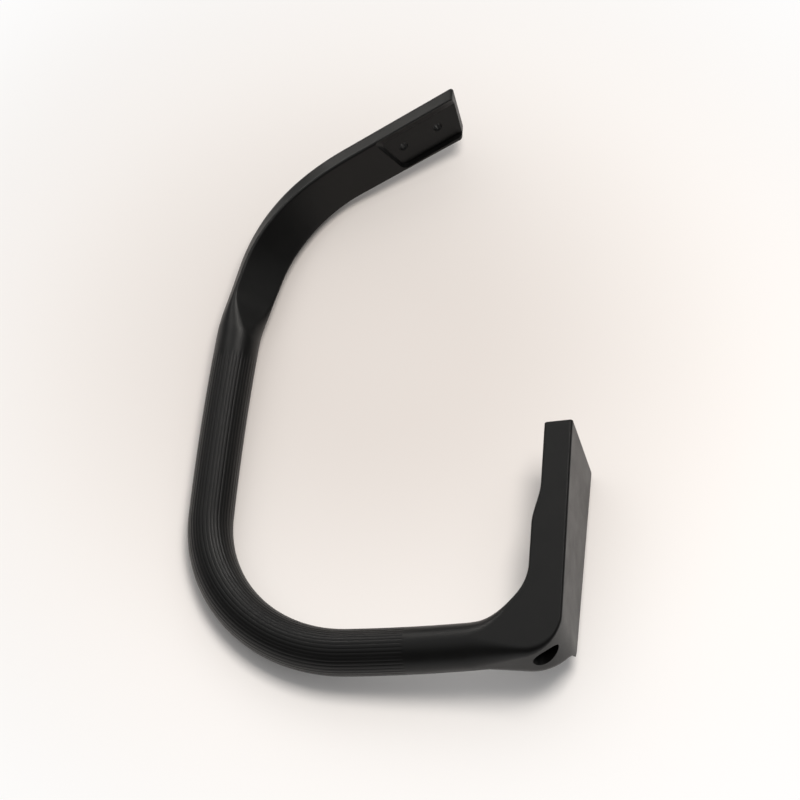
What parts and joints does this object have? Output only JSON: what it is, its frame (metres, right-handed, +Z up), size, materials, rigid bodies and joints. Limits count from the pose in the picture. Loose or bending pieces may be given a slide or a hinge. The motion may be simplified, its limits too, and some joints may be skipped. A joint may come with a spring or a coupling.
{
  "type": "auxiliary handle",
  "caption": "Open-loop auxiliary handle moulded in one piece: flat arm with a screw seat, round grip, plain cross bar and a deep flat foot with a screw hole in its corner.",
  "frame": {"origin": "middle of the footprint, at the height of the table that the handle lies on", "axes": "+Z up from the table, +Y along the foot from the cross bar to the arm, +X from the grip to the foot"},
  "size_m": [0.22, 0.3704, 0.0613],
  "materials": {
    "black_nylon": "satin black glass-filled nylon with a fine moulded grain"
  },
  "bodies": {
    "root": {"auxiliary_handle": "black_nylon"}
  },
  "joints": []
}
